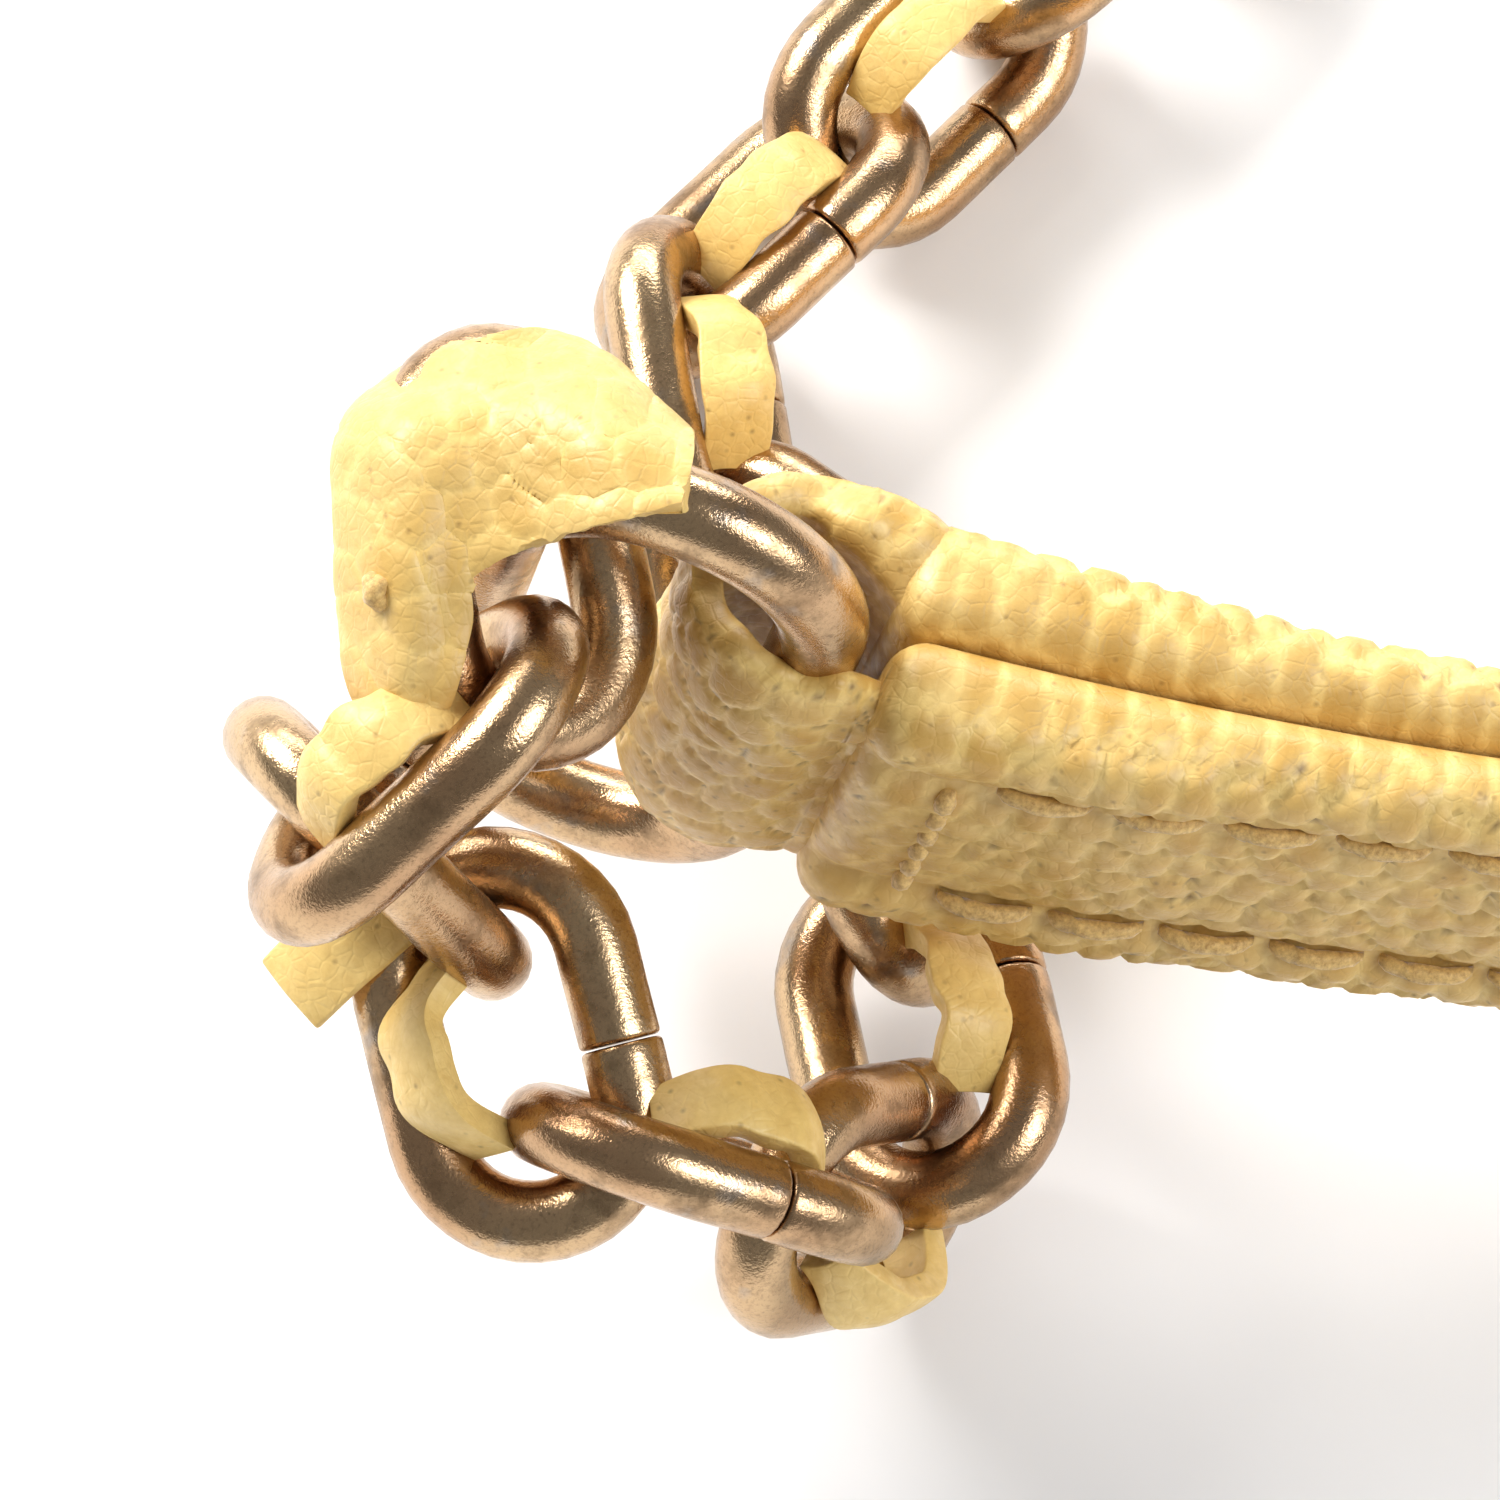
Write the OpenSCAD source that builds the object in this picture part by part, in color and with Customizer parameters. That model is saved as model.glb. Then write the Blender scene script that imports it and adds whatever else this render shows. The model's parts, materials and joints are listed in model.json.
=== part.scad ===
/* [Pad] */
// Length of the pad along its seam line
pad_length = 199; // [150:1:240]
// Width of the pad, measured up its flat face
pad_width = 13.5; // [11.5:0.5:17]
// Radius of the curve that the pad lies in
pad_radius = 150; // [125:1:200]
// Thickness of the front leather with its filling
front_thickness = 2.6; // [2.2:0.1:3.6]
// Thickness of the back leather with its filling
back_thickness = 2.5; // [2.2:0.1:3.6]
// Extra thickness of each layer at the ends of the pad
end_swell = 0.85; // [0:0.05:1.2]
// Length over which the ends swell
swell_length = 17; // [10:1:25]
// Height that each end lifts off the table
end_rise = 9.2; // [7.5:0.1:9.5]
// Slope of the pad at its ends
end_slope = 10.5; // [9.5:0.5:13]
// Radius of the rolled long edges
edge_round = 1.1; // [0.6:0.1:1.1]
// Gap between pieces that are sewn together
seam_gap = 0.06; // [0.04:0.01:0.1]

/* [Filling] */
// Thickness of each filling strip
filling_thickness = 1.1; // [0.7:0.1:1.3]
// Distance from the pad's edges to the filling
filling_margin = 3.9; // [3.6:0.1:4.6]

/* [Stitching] */
// Distance of the stitch line from the pad's edges
stitch_inset = 2.6; // [2.2:0.1:3.2]
// Length of one stitch
stitch_length = 2.3; // [1.6:0.1:2.6]
// Distance from one stitch to the next along the pad
stitch_pitch = 3; // [2.8:0.1:4]
// Number of stitches across each end
end_stitches = 6; // [4:1:7]
// Thickness of the thread
thread_d = 0.5; // [0.3:0.05:0.6]

/* [Loop] */
// Distance from the pad's end to the middle of the ring's leg
loop_reach = 1.9; // [1.8:0.05:2.4]
// Radius of the leather rolled round the ring
loop_radius = 3.55; // [3.5:0.05:3.8]
// Half of the height of the loop
loop_half = 6.4; // [5.6:0.1:6.6]
// Clearance of the ring in the loop
ring_clearance = 0.12; // [0.08:0.01:0.2]

/* [Ring] */
// Thickness of the ring's wire
ring_wire = 2.5; // [2:0.1:2.6]
// Radius of the ring's round ends, at the middle of the wire
ring_end = 4.4; // [4.2:0.1:5]
// Half of the length of the ring's straight legs
ring_half = 6.2; // [6:0.1:7]
// Angle that the ring is swung to the back
ring_swing = 6; // [3:1:9]

/* [Chain] */
// Thickness of the links' wire
link_wire = 2.3; // [1.9:0.05:2.35]
// Width of the opening of a link
link_inner_width = 3.4; // [3.35:0.05:3.8]
// Length of the opening of a link
link_inner_length = 7.4; // [7.3:0.05:7.8]
// Clearance between two hooked links
link_clearance = 0.2; // [0.15:0.01:0.3]

/* [Lace] */
// Width of the lace
lace_width = 2; // [1.5:0.1:2.2]
// Thickness of the lace
lace_thickness = 0.8; // [0.5:0.05:0.9]
// Distance of the lace from the middle of a link
lace_offset = 3.3; // [3.2:0.05:3.6]

/* [Hidden] */
$fn = 48;

leather = [0.86, 0.69, 0.32];
foam = [0.92, 0.9, 0.85];
thread = [0.82, 0.62, 0.25];
brass = [0.69, 0.51, 0.33];

// Path of the pad: an arc in plan, flat in the middle, with both ends lifted.
half_length = pad_length / 2;
half_angle = half_length / pad_radius * 180 / PI;
lift_length = 2 * end_rise / tan(end_slope);
lift_start = half_length - lift_length;

function lift(s) = let (u = abs(s) - lift_start)
    u <= 0 ? 0 : end_rise * u * u / (lift_length * lift_length);
function slope(s) = let (u = abs(s) - lift_start)
    u <= 0 ? 0 : sign(s) * atan(2 * end_rise * u / (lift_length * lift_length));
function heading(s) = s / pad_radius * 180 / PI;
function path(s) = [pad_radius * sin(heading(s)), -pad_radius * cos(heading(s)),
                    pad_width / 2 + lift(s)];
function along(s) = [cos(heading(s)) * cos(slope(s)), sin(heading(s)) * cos(slope(s)),
                     sin(slope(s))];
function inward(s) = [-sin(heading(s)), cos(heading(s)), 0];
function upward(s) = cross(along(s), inward(s));
function at(s, p, q) = path(s) + p * inward(s) + q * upward(s);

// Swell of a layer near the pad's ends, from 0 to 1.
function swell(s) = let (u = (half_length - abs(s)) / swell_length)
    u >= 1 ? 0 : (1 + cos(180 * max(0, u))) / 2;
function front_at(s) = front_thickness + end_swell * swell(s);
function back_at(s) = back_thickness + end_swell * swell(s);

// A box section with rolled edges, as points [p, q] round the section.
function section(p0, p1, q, r) = [
    for (c = [[p1 - r, q - r, 0], [p0 + r, q - r, 90], [p0 + r, r - q, 180], [p1 - r, r - q, 270]])
        for (a = [0:30:90]) [c[0] + r * cos(c[2] + a), c[1] + r * sin(c[2] + a)]];

// A closed solid through a list of rings that have the same number of points.
module loft(rings) {
    n = len(rings[0]);
    m = len(rings);
    polyhedron(
        points = [for (ring = rings) each ring],
        faces = concat(
            [[for (i = [0:n - 1]) i]],
            [[for (i = [n - 1:-1:0]) (m - 1) * n + i]],
            [for (k = [0:m - 2]) for (i = [0:n - 1]) let (j = (i + 1) % n)
                each [[k * n + i, (k + 1) * n + i, (k + 1) * n + j],
                      [k * n + i, (k + 1) * n + j, k * n + j]]]),
        convexity = 6);
}

stations = 40;
function station(k, reach) = -reach + 2 * reach * k / stations;

// A strip of the pad between two faces, up to a reach and a half height.
module strip(p0, p1, q, r, reach) {
    loft([for (k = [0:stations]) let (s = station(k, reach))
        [for (c = section(p0(s), p1(s), q, r)) at(s, c[0], c[1])]]);
}

filling_reach = half_length - 2 * filling_margin;
filling_half = pad_width / 2 - filling_margin;
filling_gap = 0.05;

function front_mid(s) = -seam_gap / 2 - front_at(s) / 2;
function back_mid(s) = seam_gap / 2 + back_at(s) / 2;

module filling(mid, grow) {
    t = filling_thickness / 2 + grow;
    strip(function(s) mid(s) - t, function(s) mid(s) + t, filling_half + grow, 0.3,
          filling_reach + grow);
}

// Directions at the pad's left end. The right end is the mirror image of the left end.
end_s = -half_length;
end_out = -along(end_s);
end_in = inward(end_s);
end_up = upward(end_s);
module frame_of(o, x, y, z) {
    multmatrix([[x[0], y[0], z[0], o[0]], [x[1], y[1], z[1], o[1]], [x[2], y[2], z[2], o[2]],
                [0, 0, 0, 1]])
        children();
}

// Where the ring's leg stands, measured from the seam between the layers to the back.
ring_shift = -0.9;
tunnel = at(end_s, ring_shift, 0) + loop_reach * end_out;

// Places children at the ring's leg: x out of the pad, y to its front, z up its width.
module in_end() {
    frame_of(tunnel, end_out, -end_in, end_up) children();
}

// A round-ended ring in the x-z plane with one straight leg on the z axis.
module ring_body(wire) {
    for (side = [0, 1]) {
        translate([side * 2 * ring_end, 0, 0])
            cylinder(r = wire / 2, h = 2 * ring_half, center = true);
        translate([ring_end, 0, (1 - 2 * side) * ring_half]) rotate([90, side * 180, 0])
            rotate_extrude(angle = 180) translate([ring_end, 0]) circle(d = wire);
    }
}

module end_ring() {
    color(brass) in_end() rotate([0, 0, -ring_swing]) ring_body(ring_wire);
}

// The leather rolled round the ring, off centre so that it runs on from the back layer.
loop_shift = [0.4, -1.5];
loop_edge = 0.1;
module end_loop() {
    in_end() difference() {
        translate([loop_shift[0], loop_shift[1], -loop_half])
            cylinder(r = loop_radius, h = 2 * loop_half);
        cylinder(d = ring_wire + 2 * ring_clearance, h = 4 * loop_half, center = true);
        translate([-loop_reach - 10 + loop_edge, ring_shift - seam_gap / 2, -loop_half - 1])
            cube([10, 20, 2 * loop_half + 2]);
    }
}
module both_ends() {
    children();
    mirror([1, 0, 0]) children();
}

module front_cover() {
    color(leather) difference() {
        strip(function(s) -seam_gap / 2 - front_at(s), function(s) -seam_gap / 2,
              pad_width / 2, edge_round, half_length);
        filling(function(s) front_mid(s), filling_gap);
    }
}

module back_cover() {
    color(leather) union() {
        difference() {
            strip(function(s) seam_gap / 2, function(s) seam_gap / 2 + back_at(s),
                  pad_width / 2, edge_round, half_length);
            filling(function(s) back_mid(s), filling_gap);
        }
        both_ends() end_loop();
    }
}

module front_filling() { color(foam) filling(function(s) front_mid(s), 0); }
module back_filling() { color(foam) filling(function(s) back_mid(s), 0); }

// One stitch lies on the front face between two points of it.
module stitch(s0, q0, s1, q1) {
    lay = thread_d / 2 + seam_gap;
    a = at(s0, -seam_gap / 2 - front_at(s0) - lay, q0);
    b = at(s1, -seam_gap / 2 - front_at(s1) - lay, q1);
    v = b - a;
    translate(a) rotate([0, acos(v[2] / norm(v)), atan2(v[1], v[0])])
        cylinder(d = thread_d, h = norm(v), $fn = 16);
}

stitch_reach = half_length - stitch_inset - stitch_pitch;
stitch_count = floor(2 * stitch_reach / stitch_pitch);
stitch_q = pad_width / 2 - stitch_inset;

module long_stitching() {
    color(thread) for (q = [-stitch_q, stitch_q]) for (i = [0:stitch_count - 1]) {
        s = (i - (stitch_count - 1) / 2) * stitch_pitch;
        stitch(s - stitch_length / 2, q, s + stitch_length / 2, q);
    }
}

module end_stitching() {
    step = 2 * stitch_q / end_stitches;
    long = step * stitch_length / stitch_pitch;
    color(thread) for (s = [-1, 1]) for (i = [0:end_stitches - 1]) {
        q = (i - (end_stitches - 1) / 2) * step;
        stitch(s * (half_length - stitch_inset), q - long / 2,
               s * (half_length - stitch_inset), q + long / 2);
    }
}

// The chain as it lies: heading and slope of each link, and its roll.
// Headings are measured from the pad's own heading at its end.
link_pose = [
    [-66, -26, -32], [-133, -30, 50], [-9, -59, -61], [-63, -19, 13],
    [7, -33, -65], [49, -52, 65], [113, -7, -21], [108, -1, 60],
    [151, -10, -38], [111, 2, 60], [58, 2, -40], [59, 0, 45],
    [61, 0, -46], [62, 0, 45]
];
links = len(link_pose);

// Radius of a link's round ends and half of its straight part, at the middle of the wire.
link_end = (link_inner_width + link_wire) / 2;
link_half = (link_inner_length + link_wire) / 2 - link_end;

function direction(a) = [cos(a[0] - half_angle) * cos(a[1]), sin(a[0] - half_angle) * cos(a[1]),
                         sin(a[1])];
function sideways(a) = let (d = direction(a), h = [-sin(a[0] - half_angle),
                                                     cos(a[0] - half_angle), 0])
    h * cos(a[2]) + cross(d, h) * sin(a[2]);

// The first link hangs on the ring's far end at this turn round the ring's upper end.
hang_turn = 179.5;
hang_shift = [0.8, 0, 0];
function ring_point(a) = let (
        r = end_out * cos(ring_swing) + end_in * sin(ring_swing),
        x = ring_end - ring_end * cos(a), z = ring_end * sin(a))
    tunnel + x * r + (z + sign(sin(a)) * ring_half) * end_up;

// Each link: middle, direction, sideways direction and the point that it hangs from.
function first_link() = let (d = direction(link_pose[0]), m = sideways(link_pose[0]),
                             h = ring_point(hang_turn))
    [h + hang_shift[0] * d + hang_shift[1] * m, d, m, h];
function next_link(f, a) = let (
        d = direction(a), turn = max(-68, min(68, atan2(d * f[2], d * f[1]))),
        h = f[0] + link_half * f[1] + link_end * (cos(turn) * f[1] + sin(turn) * f[2]))
    [h + (link_half + link_end - link_wire - link_clearance) * d, d, sideways(a), h];
function chain_to(i) = i == 0 ? [first_link()]
    : let (c = chain_to(i - 1)) concat(c, [next_link(c[i - 1], link_pose[i])]);
chain = chain_to(links - 1);

// The path's own origin is the middle of the pad's curve. The part is moved so that its
// origin lies midway between the pad's front and the chain's farthest link.
function link_top_y(f) = f[0][1] + abs(f[1][1]) * link_half
    + link_end * norm([f[1][1], f[2][1]]) + link_wire / 2;
front_y = -pad_radius - front_thickness - seam_gap / 2;
back_y = max([for (f = chain) link_top_y(f)]);
module placed() { translate([0, -(front_y + back_y) / 2, 0]) children(); }
module mirrored() { mirror([1, 0, 0]) children(); }

module link_body() {
    for (side = [-1, 1]) {
        translate([0, side * link_end, 0]) rotate([0, 90, 0])
            cylinder(d = link_wire, h = 2 * link_half, center = true);
        translate([side * link_half, 0, 0]) rotate([0, 0, -90 * side])
            rotate_extrude(angle = 180) translate([link_end, 0]) circle(d = link_wire);
    }
}

module in_link(i) {
    f = chain[i - 1];
    frame_of(f[0], f[1], f[2], cross(f[1], f[2])) children();
}

module link(i) {
    color(brass) in_link(i) link_body();
}

// The lace lies in the groove beside each link, at this turn round the link.
lace_turn = [0, 45, 45, 135, 135, 135, 135, 45, 45, 45, 135, 45, 135, 45];
lace_bay = 1.6 * link_half;

// The fold of the lace hugs the outer side of the first link's near end.
fold_gap = 0.15;
fold_span = 110;
fold_tail = 0.4;
module fold_section() {
    intersection() {
        difference() {
            circle(r = link_wire / 2 + fold_gap + lace_thickness);
            circle(r = link_wire / 2 + fold_gap);
        }
        translate([0.2, -5]) square([10, 10]);
    }
}

module lace() {
    color(leather) in_link(1) translate([-link_half, 0, 0]) rotate([0, 0, 270 - fold_span])
        rotate_extrude(angle = fold_span) translate([link_end, 0]) fold_section();
    color(leather) in_link(1) translate([-link_half + seam_gap, -link_end, 0])
        rotate([90, 0, 90])
            linear_extrude(height = link_half + fold_tail) mirror([1, 0]) fold_section();
    color(leather) for (i = [2:links]) in_link(i)
        rotate([lace_turn[i - 1], 0, 0]) translate([0, lace_offset, 0])
            cube([lace_bay, lace_width, lace_thickness], center = true);
}

hand_stitch_length = 1.3;
module hand_stitch() {
    out = link_end + link_wire / 2 + fold_gap + lace_thickness + seam_gap + thread_d / 2;
    color(thread) in_link(1) translate([-link_half / 2, -out, 0]) rotate([0, 90, 0])
        cylinder(d = thread_d, h = hand_stitch_length, center = true, $fn = 16);
}

placed() front_cover();
placed() back_cover();
placed() front_filling();
placed() back_filling();
placed() long_stitching();
placed() end_stitching();
placed() end_ring();  // left_ring
placed() mirrored() end_ring();  // right_ring
placed() lace();  // left_lace
placed() mirrored() lace();  // right_lace
placed() hand_stitch();  // left_hand_stitch
placed() mirrored() hand_stitch();  // right_hand_stitch
for (i = [1:links]) {
    placed() link(i);
    placed() mirrored() link(i);
}
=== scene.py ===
"""Visual model of a shoulder strap: padded leather, rolled loops, rings and laced chains."""

import json
import logging
import math
from dataclasses import dataclass
from enum import Enum

import bpy
import numpy as np
from mathutils import Matrix, Vector

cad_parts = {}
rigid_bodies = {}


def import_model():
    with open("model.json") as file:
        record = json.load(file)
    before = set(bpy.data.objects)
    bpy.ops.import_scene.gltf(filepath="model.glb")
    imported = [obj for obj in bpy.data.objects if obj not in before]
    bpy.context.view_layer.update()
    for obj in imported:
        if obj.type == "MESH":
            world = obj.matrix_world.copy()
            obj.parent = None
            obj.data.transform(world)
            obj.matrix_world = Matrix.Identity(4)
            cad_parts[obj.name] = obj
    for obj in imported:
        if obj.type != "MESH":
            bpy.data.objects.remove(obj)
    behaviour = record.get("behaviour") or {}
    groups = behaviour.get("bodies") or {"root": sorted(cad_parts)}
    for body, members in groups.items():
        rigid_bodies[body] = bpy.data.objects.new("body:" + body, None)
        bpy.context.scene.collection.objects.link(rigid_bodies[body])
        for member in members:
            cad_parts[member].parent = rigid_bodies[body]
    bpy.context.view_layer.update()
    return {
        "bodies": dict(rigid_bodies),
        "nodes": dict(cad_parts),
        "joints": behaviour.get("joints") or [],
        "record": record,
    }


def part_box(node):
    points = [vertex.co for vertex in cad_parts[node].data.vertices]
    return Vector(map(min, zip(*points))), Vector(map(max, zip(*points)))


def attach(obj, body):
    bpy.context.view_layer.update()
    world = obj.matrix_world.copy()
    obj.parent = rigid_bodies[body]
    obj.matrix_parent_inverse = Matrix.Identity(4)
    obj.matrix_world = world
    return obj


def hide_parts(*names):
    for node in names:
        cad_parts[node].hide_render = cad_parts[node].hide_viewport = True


LOG = logging.getLogger("strap")
MM = 0.001
MERGE = 1e-6
SHARP_EDGE = math.radians(50)
NOISE_TABLE = 64
MIRROR = np.array([-1, 1, 1])


class Side(Enum):
    """The two ends of the strap."""

    LEFT = "left"
    RIGHT = "right"


class Layer(Enum):
    """The two leather layers of the pad, by the direction from the seam to their outer face."""

    FRONT = -1
    BACK = 1


def vec(*values: float) -> np.ndarray:
    """Returns a float array."""
    return np.array(values, dtype=float)


def unit(v: np.ndarray) -> np.ndarray:
    """Returns v at length 1."""
    return v / np.linalg.norm(v)


def deselect() -> None:
    """Deselects every object, so that an operator acts on new pieces only."""
    if bpy.context.object and bpy.context.object.mode != "OBJECT":
        bpy.ops.object.mode_set(mode="OBJECT")
    bpy.ops.object.select_all(action="DESELECT")


def make_active(obj: bpy.types.Object) -> None:
    """Selects one object and makes it the active one."""
    deselect()
    obj.select_set(True)
    bpy.context.view_layer.objects.active = obj


def coords(obj: bpy.types.Object) -> np.ndarray:
    """Returns the object's vertex positions."""
    out = np.empty(len(obj.data.vertices) * 3)
    obj.data.vertices.foreach_get("co", out)
    return out.reshape(-1, 3)


def set_coords(obj: bpy.types.Object, points: np.ndarray) -> None:
    """Writes vertex positions.

    Args:
        obj: The piece.
        points: One position per vertex, in metres.
    """
    obj.data.vertices.foreach_set("co", np.ascontiguousarray(points, dtype=float).ravel())
    obj.data.update()


def copy_piece(obj: bpy.types.Object, name: str, points: np.ndarray) -> bpy.types.Object:
    """Copies a piece with a mesh of its own.

    Args:
        obj: The piece that is repeated.
        name: The copy's name.
        points: The copy's vertex positions, in metres.

    Returns:
        The copy.
    """
    new = obj.copy()
    new.data = obj.data.copy()
    new.name = new.data.name = name
    bpy.context.collection.objects.link(new)
    set_coords(new, points)
    return new


def shaped_grid(name: str, points: np.ndarray, closed: bool) -> bpy.types.Object:
    """Adds a grid and shapes it through rows of points.

    Args:
        name: The piece's name.
        points: Array of rows, points in a row, and 3 coordinates in metres.
        closed: Whether each row is a closed section; the ends are then capped.

    Returns:
        The shaped piece with outward faces. Vertices keep the order of the points.
    """
    rows, columns = points.shape[:2]
    deselect()
    wide = columns + 1 if closed else columns
    bpy.ops.mesh.primitive_grid_add(x_subdivisions=wide - 1, y_subdivisions=rows - 1, size=1,
                                    calc_uvs=True)
    obj = bpy.context.object
    obj.name = obj.data.name = name
    if closed:
        points = np.concatenate([points, points[:, :1]], axis=1)
    set_coords(obj, points.reshape(-1, 3))
    if closed:
        bpy.ops.object.mode_set(mode="EDIT")
        bpy.ops.mesh.select_all(action="SELECT")
        bpy.ops.mesh.remove_doubles(threshold=1e-7)
        bpy.ops.mesh.fill_holes(sides=0)
        bpy.ops.mesh.normals_make_consistent(inside=False)
        bpy.ops.object.mode_set(mode="OBJECT")
    bpy.ops.object.shade_smooth()
    return obj


def thicken(obj: bpy.types.Object, thickness: float, edge: float) -> None:
    """Gives a sheet its thickness and rounds its cut edges.

    Args:
        obj: The sheet.
        thickness: Thickness in metres, to both sides of the sheet.
        edge: Radius of the rounded edges, in metres.
    """
    make_active(obj)
    mod = obj.modifiers.new("thickness", "SOLIDIFY")
    mod.thickness = thickness
    mod.offset = 0
    bpy.ops.object.modifier_apply(modifier=mod.name)
    mod = obj.modifiers.new("edges", "BEVEL")
    mod.width = edge
    mod.segments = 3
    mod.limit_method = "ANGLE"
    mod.angle_limit = SHARP_EDGE
    bpy.ops.object.modifier_apply(modifier=mod.name)
    bpy.ops.object.mode_set(mode="EDIT")
    bpy.ops.mesh.select_all(action="SELECT")
    bpy.ops.mesh.normals_make_consistent(inside=False)
    bpy.ops.object.mode_set(mode="OBJECT")
    bpy.ops.object.shade_smooth()


def wave(points: np.ndarray, size: float, seed: int, count: int = 20) -> np.ndarray:
    """Returns smooth random values between about -1 and 1 at points in space.

    Args:
        points: Positions, in metres.
        size: Size of the pattern, in metres.
        seed: Number that fixes the pattern.
        count: Number of waves added up.

    Returns:
        One value per point.
    """
    rng = np.random.default_rng(seed)
    axes = rng.normal(size=(count, 3))
    axes /= np.linalg.norm(axes, axis=1)[:, None]
    freq = rng.uniform(0.6, 1.5, count) * 2 * math.pi / size
    phase = rng.uniform(0, 2 * math.pi, count)
    total = np.zeros(len(points))
    for k in range(count):
        total += np.sin(points @ axes[k] * freq[k] + phase[k])
    return total / math.sqrt(count / 2) / 1.6


def pebbles(u: np.ndarray, v: np.ndarray, seed: int) -> tuple[np.ndarray, np.ndarray]:
    """Returns the height of a pebbled grain over a flat map.

    Args:
        u: First map coordinate of each point, in pebbles.
        v: Second map coordinate, in pebbles.
        seed: Number that fixes the grain.

    Returns:
        Height from 0 in the grooves to 1 on a crown, and each pebble's own random value.
    """
    jitter, far = 0.6, 9.0
    table = np.random.default_rng(seed).uniform(0, 1, (NOISE_TABLE, NOISE_TABLE, 3))
    iu, iv = np.floor(u).astype(int), np.floor(v).astype(int)
    best = np.full(u.shape, far)
    second = np.full(u.shape, far)
    own = np.zeros(u.shape)
    for du in (-2, -1, 0, 1, 2):
        for dv in (-2, -1, 0, 1, 2):
            cu, cv = iu + du, iv + dv
            cell = table[cu % NOISE_TABLE, cv % NOISE_TABLE]
            x = cu + 0.25 + 0.5 * (cv % 2) + jitter * (cell[..., 0] - 0.5)
            y = cv + 0.5 + jitter * (cell[..., 1] - 0.5)
            dist = np.hypot(u - x, v - y)
            nearer = dist < best
            second = np.where(nearer, best, np.minimum(second, dist))
            own = np.where(nearer, cell[..., 2], own)
            best = np.where(nearer, dist, best)
    edge = np.clip((second - best) * 1.7, 0, 1)
    return np.sqrt(np.clip(1 - (1 - edge) ** 2, 0, 1)), own


def paint_grain(obj: bpy.types.Object, crown: np.ndarray, own: np.ndarray,
                pore: np.ndarray) -> None:
    """Stores the grain as a colour attribute that the leather reads.

    Args:
        obj: The leather piece.
        crown: Height of the grain at each vertex, from 0 to 1.
        own: Each pebble's own value.
        pore: How much of a dark pore lies at each vertex.
    """
    layer = obj.data.color_attributes.new("grain", "FLOAT_COLOR", "POINT")
    rgba = np.ones((len(obj.data.vertices), 4))
    rgba[:, 0], rgba[:, 1], rgba[:, 2] = crown, own, pore
    layer.data.foreach_set("color", rgba.ravel())


class Nodes:
    """A material's node tree, with short ways to add and join nodes."""

    def __init__(self, name: str) -> None:
        """Makes the material with one Principled shader."""
        self.material = bpy.data.materials.new(name)
        self.material.use_nodes = True
        self.tree = self.material.node_tree
        self.shader = self.tree.nodes["Principled BSDF"]

    def add(self, kind: str, **values: object) -> bpy.types.Node:
        """Adds a node and sets its properties, or its inputs by name.

        Args:
            kind: The node's type name.
            values: Properties or inputs; an underscore in an input's name is a space.

        Returns:
            The node.
        """
        node = self.tree.nodes.new(kind)
        for key, value in values.items():
            if hasattr(node, key):
                setattr(node, key, value)
            else:
                node.inputs[key.replace("_", " ")].default_value = value
        return node

    def join(self, out: bpy.types.NodeSocket, into: bpy.types.NodeSocket) -> None:
        """Links two sockets."""
        self.tree.links.new(out, into)

    def place(self) -> bpy.types.NodeSocket:
        """Returns the Object coordinates."""
        return self.add("ShaderNodeTexCoord").outputs["Object"]

    def noise(self, at: bpy.types.NodeSocket, scale: float, detail: float = 3.0,
              rough: float = 0.55) -> bpy.types.NodeSocket:
        """Returns a noise value.

        Args:
            at: Coordinates.
            scale: Pattern per metre.
            detail: Octaves.
            rough: How strong the octaves are.

        Returns:
            The noise from 0 to 1.
        """
        node = self.add("ShaderNodeTexNoise", Scale=scale, Detail=detail, Roughness=rough)
        self.join(at, node.inputs["Vector"])
        return node.outputs["Fac"]

    def span(self, value: bpy.types.NodeSocket, low: float, high: float, to_low: float,
             to_high: float) -> bpy.types.NodeSocket:
        """Maps a value from one range to another, with its ends held.

        Args:
            value: The value.
            low: Start of its range.
            high: End of its range.
            to_low: Result at the start.
            to_high: Result at the end.

        Returns:
            The mapped value.
        """
        node = self.add("ShaderNodeMapRange")
        for index, number in enumerate((low, high, to_low, to_high), start=1):
            node.inputs[index].default_value = number
        self.join(value, node.inputs[0])
        return node.outputs[0]

    def blend(self, factor: bpy.types.NodeSocket, first: object, second: object,
              mode: str = "MIX") -> bpy.types.NodeSocket:
        """Mixes two colours.

        Args:
            factor: Share of the second colour.
            first: A socket or a plain colour.
            second: A socket or a plain colour.
            mode: How they are mixed.

        Returns:
            The mixed colour.
        """
        node = self.add("ShaderNodeMix", data_type="RGBA", blend_type=mode)
        self.join(factor, node.inputs[0])
        for index, colour in ((6, first), (7, second)):
            if isinstance(colour, tuple):
                node.inputs[index].default_value = (*colour, 1)
            else:
                self.join(colour, node.inputs[index])
        return node.outputs[2]

    def bump(self, height: bpy.types.NodeSocket, strength: float, distance: float,
             under: bpy.types.NodeSocket | None = None) -> bpy.types.NodeSocket:
        """Returns a normal from a height, laid over another normal.

        Args:
            height: The height.
            strength: Share of the bump, from 0 to 1.
            distance: Height of the bump, in metres.
            under: The normal that it lies on.

        Returns:
            The normal.
        """
        node = self.add("ShaderNodeBump", Strength=strength, Distance=distance)
        self.join(height, node.inputs["Height"])
        if under is not None:
            self.join(under, node.inputs["Normal"])
        return node.outputs["Normal"]

    def set(self, **values: object) -> None:
        """Sets the shader's own inputs; an underscore in a name is a space."""
        for key, value in values.items():
            self.shader.inputs[key.replace("_", " ")].default_value = value


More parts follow.
